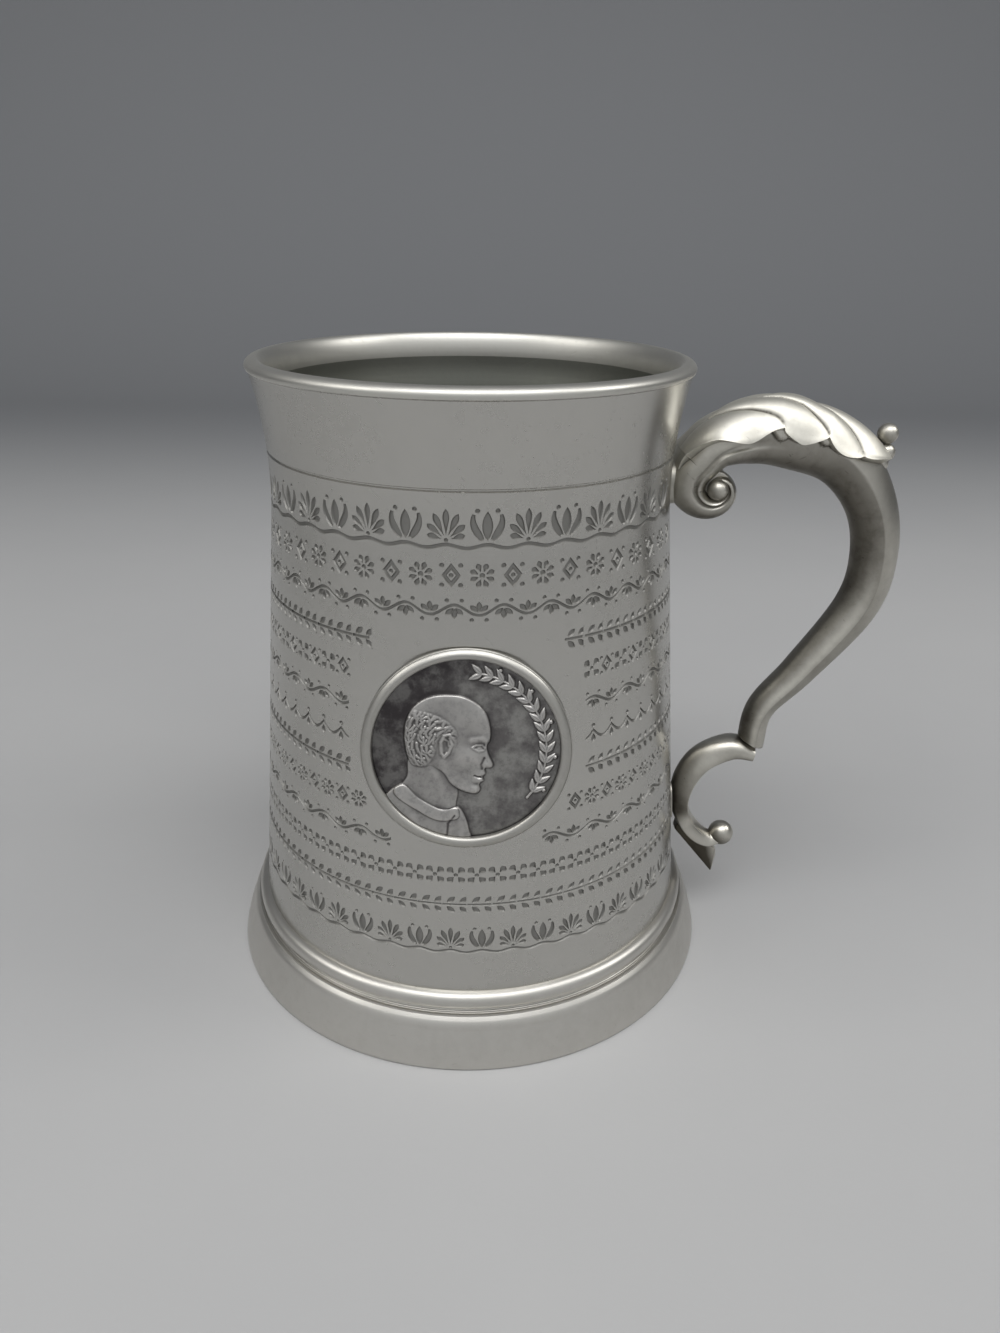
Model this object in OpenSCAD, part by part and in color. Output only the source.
// Pewter tankard with a coin set in its wall and a leaf-capped double-scroll handle.
// Millimetres. The origin is on the barrel's axis at table level, +Z up, coin towards -Y, handle towards +X.

/* [Body] */
// Overall height, table to rim
body_h = 138.4; // [132:0.1:160]
// Diameter over the rounded rim
rim_d = 91.8; // [88:0.1:98]
// Width of the rounded rim, seen from above
rim_w = 4.1; // [3:0.1:6]
// Height of the rounded rim
rim_t = 3; // [2:0.1:4.5]
// Barrel diameter where it meets the foot
barrel_foot_d = 101.1; // [97:0.1:104]
// Lean of the barrel wall, in degrees
barrel_taper = 4.8; // [3.5:0.1:5.5]
// Height of the flared lip under the rim
flare_h = 30; // [20:1:38]
// Wall thickness
wall = 1.8; // [1.2:0.1:2.6]
// Incised line, distance below the rim's top
line_drop = 18.1; // [12:0.1:26]
// Width of the incised line
line_w = 0.7; // [0.4:0.1:1.2]
// Depth of the incised line
line_depth = 0.4; // [0.2:0.05:0.7]

/* [Foot] */
// Diameter over the plinth
foot_d = 114; // [110:0.1:122]
// Height of the foot moulding
foot_h = 15.8; // [14:0.1:20]
// Height of the plain plinth
plinth_h = 8.7; // [7.6:0.1:10]
// How much narrower the plinth is at its top, on the radius
plinth_lean = 2.4; // [0.6:0.1:3]
// Thickness of the bead round the top of the foot
bead_d = 4.2; // [3:0.1:4.8]
// Width of the flat rim that the tankard stands on
rest_w = 3; // [2:0.1:5]
// Height of the floor's underside above the table
floor_rise = 10; // [8:0.1:12]
// Thickness of the floor disc
floor_t = 2; // [1.4:0.1:3]
// Rise of the floor's dome at its middle
floor_dome = 1.2; // [0:0.1:2.5]
// Wall of the drum's spigot inside the foot
spigot_t = 1.2; // [0.8:0.1:1.6]
// Width of the ledge that carries the drum and the floor
ledge_w = 3; // [2:0.1:5]
// Thickness of that ledge
ledge_t = 1.8; // [1:0.1:3]

/* [Coin] */
// Coin diameter
coin_d = 38.6; // [34:0.1:40]
// Coin thickness over its raised rim
coin_t = 2.9; // [2:0.1:3.4]
// Width of the coin's raised rim
coin_rim_w = 1.1; // [0.6:0.1:2]
// Depth of the coin's field below its rim
coin_field = 0.4; // [0.2:0.05:0.6]
// Clearance round the coin in its cup
coin_fit = 0.1; // [0.05:0.05:0.3]
// Height of the coin's middle above the table
coin_z = 71.6; // [62:0.1:80]
// Backward lean of the coin, in degrees
coin_tilt = 8; // [4:0.5:10]
// Wall of the coin cup
cup_wall = 0.6; // [0.5:0.1:1.6]
// Thickness of the coin cup's back
cup_back = 1.2; // [0.8:0.1:2]
// Width of the ledge behind the coin
cup_ledge = 1.8; // [1:0.1:3]
// How far the bezel's face stands off the barrel
bezel_proud = 2.6; // [2:0.1:4.5]
// Thickness of the bezel ring
bezel_t = 1.2; // [0.8:0.1:1.8]
// How far the bezel laps over the coin
bezel_lap = 1.3; // [0.5:0.1:1.6]
// How far the bezel's edge overhangs its cup
bezel_roll = 0.2; // [0.1:0.1:1]

/* [Handle] */
// Eye of the upper volute, distance below the rim's top
eye_drop = 27.7; // [24:0.1:34]
// Eye of the upper volute, distance off the wall
eye_out = 10.1; // [9.6:0.1:10.6]
// Radius of the volute where it faces the wall
volute_r = 10; // [9.7:0.1:10.6]
// Diameter of the boss at the volute's eye
eye_d = 4.6; // [3:0.1:5.5]
// Half-width of the handle across the arch
arch_half_w = 6.2; // [5:0.1:7.5]
// Half-width of the handle at its lower end
end_half_w = 4.3; // [3:0.1:5.5]
// How far the handle's middle line stands off the wall at its widest
reach = 46.1; // [44:0.1:54]
// Height of the arch's middle line above the eye
arch_rise = 10.6; // [9.6:0.1:12]
// Half-thickness of the arch at its crown
arch_half_t = 7; // [6:0.1:7.6]
// Half-thickness of the scroll at its lower end
end_half_t = 3.2; // [2.6:0.1:4]
// Seam between the two castings, distance off the wall
seam_out = 20.3; // [18:0.1:23]
// Thickness of the leaf on the handle
leaf_t = 1.3; // [0.8:0.1:1.8]
// Diameter of the thumb ball
thumb_ball_d = 4.4; // [3.6:0.1:6]
// Height of the thumb ball's middle above the eye
thumb_rise = 8.5; // [7.6:0.1:10]
// Height of the tail's heel above the table
tail_rise = 23.1; // [22:0.1:34]
// Half-width of the tail scroll
tail_half_w = 4.2; // [3:0.1:5.5]
// Half-thickness of the tail scroll
tail_half_t = 2.9; // [2.3:0.1:3.4]
// Height of the tail's curl, from the seam down to its lowest turn
tail_h = 26.8; // [23:0.1:30]
// How far the spur hangs below the curl
spur_drop = 10.1; // [7:0.1:12]
// Diameter of the ball that ends the tail
tail_ball_d = 6.2; // [4.4:0.1:7]
// Solder between the volute and the drum
upper_solder_t = 1.2; // [0.9:0.1:1.5]
// Solder between the tail and the drum
lower_solder_t = 0.6; // [0.3:0.1:1.1]

/* [Hidden] */
$fn = 96;
pewter = "#a9a69c";
pewter_dark = "#6f6d66";

// Barrel outline: a straight cone with a lip that flares as a parabola
barrel_foot_r = barrel_foot_d / 2;
rim_r = rim_d / 2;
rim_mid_z = body_h - rim_t / 2;
flare_z = rim_mid_z - flare_h;
rim_tuck = 0.35;
flare_rise = rim_r - rim_tuck - cone_r(rim_mid_z);
line_z = body_h - line_drop;
bore_r = barrel_foot_r - wall;
spigot_r = bore_r + spigot_t;
function cone_r(z) = barrel_foot_r - (z - foot_h) * tan(barrel_taper);
function flare(z) = flare_rise * pow(max(0, (z - flare_z) / flare_h), 2);
function outer_r(z) = cone_r(z) + flare(z);
function ellipse_arc(c, a, b, from, to, n) =
    [for (i = [0 : n]) let (t = from + (to - from) * i / n) [c.x + a * cos(t), c.y + b * sin(t)]];

// The outside of the drum from z0 to z1, grown by a margin, as heights and radii
flare_steps = 14;
function flare_side(grow, z0, z1) =
    [for (i = [0 : flare_steps]) let (z = z0 + (z1 - z0) * i / flare_steps) [outer_r(z) + grow, z]];

module drum_outline() {
    rim_side = rim_r - rim_w / 2;
    lip_z = rim_mid_z - rim_t * 0.3;
    polygon(concat(
        [[bore_r, floor_rise], [spigot_r, floor_rise], [spigot_r, foot_h], [barrel_foot_r, foot_h]],
        flare_side(0, flare_z, line_z - line_w / 2),
        [[outer_r(line_z) - line_depth, line_z]],
        flare_side(0, line_z + line_w / 2, lip_z),
        ellipse_arc([rim_side, rim_mid_z], rim_w / 2, rim_t / 2, -25, 205, 20),
        [for (p = flare_side(-wall, lip_z, flare_z)) p],
        [[bore_r, foot_h]]
    ));
}

// The solid that the drum's outside fills, grown by a margin
module drum_envelope(grow) {
    rotate_extrude()
        polygon(concat(
            [[0, foot_h], [barrel_foot_r + grow, foot_h]],
            flare_side(grow, flare_z, rim_mid_z),
            [[0, rim_mid_z]]
        ));
}

// Coin mount: local +Z is the coin's axis, out of the wall, with the bezel's face at zero
coin_r = coin_d / 2;
coin_pocket_r = coin_r + coin_fit;
cup_r = coin_pocket_r + cup_wall;
bezel_face_y = outer_r(coin_z) + bezel_proud;
cup_margin = 1.2;
wall_inside_r = outer_r(coin_z) - wall;
cup_depth = bezel_face_y - sqrt(wall_inside_r * wall_inside_r - cup_r * cup_r) + cup_margin;
module at_coin() {
    translate([0, -bezel_face_y, coin_z])
        rotate([90 - coin_tilt, 0, 0])
            children();
}

module body_drum() {
    color(pewter)
        difference() {
            rotate_extrude() drum_outline();
            at_coin()
                translate([0, 0, -cup_depth])
                    cylinder(r = cup_r, h = cup_depth);
        }
}

module base_disc() {
    rings = 8;
    function dome(r) = floor_dome * (1 - pow(r / bore_r, 2));
    color(pewter_dark)
        rotate_extrude()
            polygon(concat(
                [for (i = [0 : rings]) let (r = bore_r * i / rings) [r, floor_rise + dome(r)]],
                [for (i = [rings : -1 : 0]) let (r = bore_r * i / rings) [r, floor_rise + floor_t + dome(r)]]
            ));
}

// Foot moulding, from the bead at the top to the flat rim underneath.
// Its places are shares of the step between barrel and plinth, and the hollow underneath follows the plinth.
foot_r = foot_d / 2;
bead_r = bead_d / 2;
bead_c = [barrel_foot_r, foot_h - bead_r];
plinth_top_r = foot_r - plinth_lean;
cap_w = plinth_top_r - barrel_foot_r;
cap_h = foot_h - plinth_h;
ridge = [barrel_foot_r + 0.79 * cap_w, plinth_h + 0.25 * cap_h];
ovolo = [plinth_top_r - ridge.x, ridge.y - plinth_h];
plinth_bow = 1.3;
toe = 0.5;
module foot_ring() {
    cove_top = bead_c + bead_r * [cos(-60), sin(-60)];
    cove_end = ridge + [-0.25 * cap_w, 0.11 * cap_h];
    fillet_w = 0.1 * cap_w;
    fillet_up = 0.04 * cap_h;
    fillet_down = 0.025 * cap_h;
    plinth_steps = 8;
    hollow_r = foot_r - toe - rest_w;
    hollow_z = floor_rise - ledge_t;
    ledge_r = bore_r - ledge_w;
    color(pewter)
        rotate_extrude()
            polygon(concat(
                [[spigot_r, foot_h]],
                ellipse_arc(bead_c, bead_r, bead_r, 90, -60, 15),
                [for (t = [15 : 15 : 90])
                    [cove_top.x + (cove_end.x - cove_top.x) * (1 - cos(t)),
                     cove_top.y + (cove_end.y - cove_top.y) * sin(t)]],
                [cove_end + [0, fillet_up], cove_end + [fillet_w, fillet_up]],
                [cove_end + [fillet_w, -fillet_down], ridge],
                [for (t = [15 : 15 : 90])
                    [ridge.x + ovolo.x * sin(t), ridge.y - ovolo.y * (1 - cos(t))]],
                [for (i = [1 : plinth_steps])
                    let (f = i / plinth_steps)
                    [foot_r - plinth_lean * pow(1 - f, plinth_bow), plinth_h + (toe - plinth_h) * f]],
                [[foot_r - toe, 0], [hollow_r, 0], [hollow_r, hollow_z]],
                [[ledge_r, hollow_z], [ledge_r, floor_rise], [spigot_r, floor_rise]]
            ));
}

module coin_cup() {
    seat = bezel_t + coin_t;
    color(pewter_dark)
        at_coin()
            difference() {
                translate([0, 0, -cup_depth]) cylinder(r = cup_r, h = cup_depth - bezel_t);
                translate([0, 0, -seat]) cylinder(r = coin_pocket_r, h = seat);
                translate([0, 0, cup_back - cup_depth])
                    cylinder(r = coin_pocket_r - cup_ledge, h = cup_depth);
            }
}

module coin() {
    field_r = coin_r - coin_rim_w;
    color(pewter_dark)
        at_coin()
            translate([0, 0, -bezel_t - coin_t])
                difference() {
                    cylinder(r = coin_r, h = coin_t);
                    translate([0, 0, coin_t - coin_field]) cylinder(r = field_r, h = coin_t);
                    translate([0, 0, coin_field - coin_t]) cylinder(r = field_r, h = coin_t);
                }
}

module coin_bezel() {
    inner_r = coin_r - bezel_lap;
    outer = cup_r + bezel_roll;
    mid = (inner_r + cup_r) / 2;
    color(pewter)
        at_coin()
            rotate_extrude()
                polygon(concat(
                    [[inner_r, -bezel_t]],
                    ellipse_arc([mid, -bezel_t * 0.6], mid - inner_r, bezel_t * 0.6, 180, 10, 14),
                    ellipse_arc([cup_r, -bezel_t * 0.75], bezel_roll, bezel_t * 0.25, 90, 0, 4),
                    [[outer, -bezel_t]]
                ));
}

// Handle frame: local X is the distance off the wall, local Z runs up along the wall.
// Its origin is level with the eye.
eye_z = body_h - eye_drop;
module at_wall() {
    translate([cone_r(eye_z), 0, eye_z])
        rotate([0, -barrel_taper, 0])
            children();
}

// The volute is a log spiral round the eye, and the tube that winds along it shrinks with it
spiral_rate = 0.0047;
root_rate = 0.0006;
tube_share = 0.4;
function spiral_r(a) = volute_r * exp((a > 180 ? spiral_rate : root_rate) * (180 - a));
function spiral_row(a) =
    let (half_t = tube_share * spiral_r(a), c = spiral_r(a) - half_t)
    [eye_out + c * cos(a), c * sin(a), half_t, volute_half_w(a)];
function volute_half_w(a) = arch_half_w * (1 - 0.26 * (a - 90) / 360);

// The S-scroll hangs from the volute's top: rows of place off the wall, height, half-thickness, half-width.
// Each row is given as shares of the named sizes, so the scroll stretches with the body and with its reach.
tail_z = tail_rise - eye_z;
seam_c = [seam_out, tail_z / cos(barrel_taper) + 0.903 * tail_h];
seam_lean = -27.5;
drop = -seam_c.y;
function arch_x(f) = eye_out + f * (reach - eye_out);
function sway_x(f) = seam_out + f * (reach - seam_out);
function arch_row(x, up, t, w) = [arch_x(x), up * arch_rise, t * arch_half_t, w * arch_half_w];
function fall_row(x, down, t, w) = [sway_x(x), -down * drop, t * arch_half_t, w * arch_half_w];
function end_row(x, down, t, w) = [sway_x(x), -down * drop, t * end_half_t, w * end_half_w];
scroll_rows = [
    arch_row(0.014, 0.84, 0.714, 1),
    arch_row(0.2, 1, 0.886, 1),
    arch_row(0.428, 0.934, 1, 1),
    arch_row(0.753, 0.406, 0.914, 1),
    fall_row(0.93, 0.098, 0.786, 0.95),
    fall_row(1, 0.29, 0.743, 0.9),
    fall_row(0.876, 0.48, 0.714, 0.855),
    end_row(0.411, 0.713, 1.25, 1.09),
    end_row(0.074, 0.859, 1.03, 1.02),
    end_row(-0.012, 1, 1, 1),
    end_row(-0.031, 1.094, 1, 1)
];
function spline(p, i, t) =
    let (a = p[max(0, i - 1)], b = p[i], c = p[i + 1], d = p[min(len(p) - 1, i + 2)])
    0.5 * (2 * b + (c - a) * t + (2 * a - 5 * b + 4 * c - d) * t * t + (3 * b - a - 3 * c + d) * t * t * t);
function spline_rows(p, first, counts) =
    [for (i = [first : len(p) - 2]) for (j = [0 : counts[i] - 1]) spline(p, i, j / counts[i])];

// All the scroll's rows from the eye to the seam; the leaf lies between two of them
eye_turn = 500;
leaf_root_turn = 150;
coil_step = 14;
leaf_step = 5;
arch_turn = 128;
control_rows = concat([spiral_row(150), spiral_row(arch_turn)], scroll_rows);
row_counts = [0, 6, 7, 8, 14, 14, 6, 6, 6, 5, 4, 2];
scroll_path = concat(
    [for (a = [eye_turn : -coil_step : leaf_root_turn + 1]) spiral_row(a)],
    [for (a = [leaf_root_turn : -leaf_step : arch_turn + 1]) spiral_row(a)],
    spline_rows(control_rows, 1, row_counts),
    [scroll_rows[len(scroll_rows) - 1]]
);
leaf_first = floor((eye_turn - leaf_root_turn - 1) / coil_step) + 1;
leaf_rows = 46;
leaf_last = leaf_first + leaf_rows;

// Leaf: lobes that end in notches along the scalloped edge; veins sweep back from each notch to the midrib
lobe_ends = [0, 0.51, 0.71, 1.04];
vein_sweep = 0.2;
edge_columns = 22;
under_columns = 16;
edge_step = 2.5;
edge_fade = 0.35;
function leaf_s(i) = (i - leaf_first) / (leaf_last - leaf_first);
function lobe_u(q) =
    let (k = [for (i = [0 : len(lobe_ends) - 2]) if (q >= lobe_ends[i] && q <= lobe_ends[i + 1]) i])
    len(k) == 0 ? 0 : (q - lobe_ends[k[0]]) / (lobe_ends[k[0] + 1] - lobe_ends[k[0]]);
function first_lobe_edge(u) = 34 + 42 * u + 36 * exp(-pow((u - 0.68) / 0.22, 2));
function next_lobe_edge(s) =
    let (u = lobe_u(s), tip = 1 - 0.5 * pow(max(0, s - 0.86) / 0.14, 2))
    tip * ((s < lobe_ends[2] ? 78 - 8 * u : 70) + 14 * sin(180 * pow(u, 0.9)));
function edge_angle(s) =
    s < 0 ? 90 + (first_lobe_edge(0) - 90) * max(0, 1 + s / edge_fade) :
    s > 1 ? 90 + (next_lobe_edge(1) - 90) * max(0, 1 + (1 - s) / edge_fade) :
    s < lobe_ends[1] ? first_lobe_edge(lobe_u(s)) : next_lobe_edge(s);
function leaf_rise(s, f) =
    s <= 0 || s > 1 ? 0 :
    let (u = lobe_u(s + vein_sweep * (1 - f) * (1 - f)),
         pillow = 0.5 + 0.5 * pow(sin(180 * u), 0.6),
         root = min(1, s / 0.12),
         curl = 1 + 0.9 * pow(max(0, s - 0.8) / 0.2, 2) * (1 - f))
    leaf_t * root * curl * pillow;

// A closed tube through rows, with a rounded box section whose columns follow the leaf's edge
section_power = 2.4;
function soft(v) = sign(v) * pow(abs(v), 2 / section_power);
function tangent(rows, i) =
    let (d = rows[min(i + 1, len(rows) - 1)] - rows[max(i - 1, 0)])
    [d.x, d.y] / norm([d.x, d.y]);
function section_point(row, t, angle, rise) =
    let (out = row[2] * soft(cos(angle)) + rise * cos(angle),
         side = row[3] * soft(sin(angle)) + rise * sin(angle))
    [row.x - t.y * out, side, row.y + t.x * out];
function scroll_ring(i) =
    let (row = scroll_path[i], t = tangent(scroll_path, i), s = leaf_s(i))
    let (e = edge_angle(s), gap = 360 - 2 * e)
    concat(
        [for (j = [0 : edge_columns]) let (f = 2 * j / edge_columns - 1)
            section_point(row, t, e * f, leaf_rise(s, abs(f)))],
        [for (j = [0 : under_columns])
            section_point(row, t, e + edge_step + (gap - 2 * edge_step) * j / under_columns, 0)]
    );
function plain_ring(rows, i, sides) =
    let (t = tangent(rows, i))
    [for (j = [0 : sides - 1]) section_point(rows[i], t, 360 * j / sides, 0)];
module tube(rings) {
    n = len(rings[0]);
    m = len(rings);
    polyhedron(
        points = [for (r = rings) each r],
        faces = concat(
            [[for (j = [n - 1 : -1 : 0]) j]],
            [for (i = [0 : m - 2]) for (j = [0 : n - 1])
                let (k = (j + 1) % n, here = i * n, next = here + n)
                each [[here + j, next + k, next + j], [here + j, here + k, next + k]]],
            [[for (j = [0 : n - 1]) (m - 1) * n + j]]
        )
    );
}

// Half-space on one side of the seam between the two castings
module seam_side(up) {
    size = 1.3 * reach;
    translate([seam_c.x, 0, seam_c.y])
        rotate([0, -seam_lean, 0])
            translate([-size / 2, -size / 2, up ? 0 : -size])
                cube(size);
}

module thumb_ball() {
    ball = [reach + 0.2 * thumb_ball_d, thumb_rise];
    root = [reach - 0.15 * thumb_ball_d, 0.11 * thumb_rise];
    lean = atan2(ball.x - root.x, ball.y - root.y);
    neck = norm(ball - root);
    translate([ball.x, 0, ball.y]) sphere(d = thumb_ball_d);
    translate([root.x, 0, root.y])
        rotate([0, lean, 0])
            cylinder(r1 = thumb_ball_d * 0.48, r2 = thumb_ball_d * 0.36, h = neck);
}

module handle_scroll() {
    web_r = volute_r * 0.39;
    web_w = arch_half_w * 1.1;
    web_x = eye_out - volute_r * 0.05;
    boss_y = arch_half_w - eye_d * 0.43;
    color(pewter)
        difference() {
            at_wall() {
                difference() {
                    tube([for (i = [0 : len(scroll_path) - 1]) scroll_ring(i)]);
                    seam_side(false);
                }
                thumb_ball();
                for (side = [-1, 1])
                    translate([eye_out, side * boss_y, 0]) sphere(d = eye_d);
                translate([web_x, web_w / 2, 0])
                    rotate([90, 0, 0])
                        cylinder(r = web_r, h = web_w);
            }
            drum_envelope(upper_solder_t);
        }
}

// Tail: a C-scroll that leaves the seam, runs down the wall and curls up to a ball, with a spur at its heel.
// Its rows are shares too: off the wall from the solder to the seam, down from the seam, then its half sizes.
tail_c = seam_c.y;
tail_near = 0.76 * tail_half_t + 0.66 * lower_solder_t;
tail_foot = tail_c - tail_h;
function tail_x(f) = tail_near + f * (seam_out - tail_near);
function tail_place(x, down) = [tail_x(x), tail_c - down * tail_h];
function spur_place(x, down) = [tail_x(x), tail_foot - down * spur_drop];
function tail_row(x, down, t, w) = concat(tail_place(x, down), [t * tail_half_t, w * tail_half_w]);
tail_rows = [
    tail_row(0.994, 0.097, 0.655, 1),
    tail_row(0.7, 0.041, 0.93, 1),
    tail_row(0.322, 0.123, 1, 1),
    tail_row(0.09, 0.313, 0.93, 1),
    tail_row(0, 0.545, 0.76, 1),
    tail_row(0.056, 0.743, 0.724, 1),
    tail_row(0.215, 0.91, 0.69, 0.905),
    tail_row(0.401, 1, 0.586, 0.76),
    tail_row(0.554, 0.985, 0.483, 0.57)
];
tail_counts = [4, 5, 5, 5, 5, 4, 4, 4];
tail_path = concat(spline_rows(tail_rows, 0, tail_counts), [tail_rows[len(tail_rows) - 1]]);
tail_sides = 24;
module spur() {
    heel = [tail_place(0, 0.754), spur_place(0.497, 0.228),
        tail_place(0.305, 0.974), tail_place(0.045, 0.679)];
    keel = [tail_place(-0.073, 0.866), spur_place(0.452, 1), spur_place(0.525, 0.465)];
    hull() {
        rotate([90, 0, 0])
            linear_extrude(height = tail_half_w * 1.67, center = true)
                polygon(heel);
        rotate([90, 0, 0])
            linear_extrude(height = tail_half_w * 0.6, center = true)
                polygon(keel);
    }
}

module handle_tail() {
    ball = tail_place(0.599, 0.97);
    color(pewter)
        difference() {
            at_wall()
                difference() {
                    union() {
                        tube([for (i = [0 : len(tail_path) - 1]) plain_ring(tail_path, i, tail_sides)]);
                        spur();
                        translate([ball.x, 0, ball.y]) sphere(d = tail_ball_d);
                    }
                    seam_side(true);
                }
            drum_envelope(lower_solder_t);
        }
}

// Solder: a saddle of even thickness on the drum, cut to a rounded pad
module solder_pad(thickness, centre_z, half_h, half_w) {
    color(pewter_dark)
        intersection() {
            difference() {
                drum_envelope(thickness);
                drum_envelope(0);
            }
            at_wall()
                translate([0, 0, centre_z])
                    rotate([0, 90, 0])
                        linear_extrude(height = 2 * eye_out, center = true)
                            union() {
                                square([2 * (half_h - half_w), 2 * half_w], center = true);
                                for (end = [-1, 1])
                                    translate([end * (half_h - half_w), 0]) circle(r = half_w);
                            }
        }
}

module upper_solder() {
    solder_pad(upper_solder_t, 0.13 * volute_r, 0.46 * volute_r, 0.61 * arch_half_w);
}

module lower_solder() {
    solder_pad(lower_solder_t, tail_c - 0.56 * tail_h, 0.187 * tail_h, 0.76 * tail_half_w);
}

body_drum();
base_disc();
foot_ring();
coin_cup();
coin();
coin_bezel();
handle_scroll();
handle_tail();
upper_solder();
lower_solder();
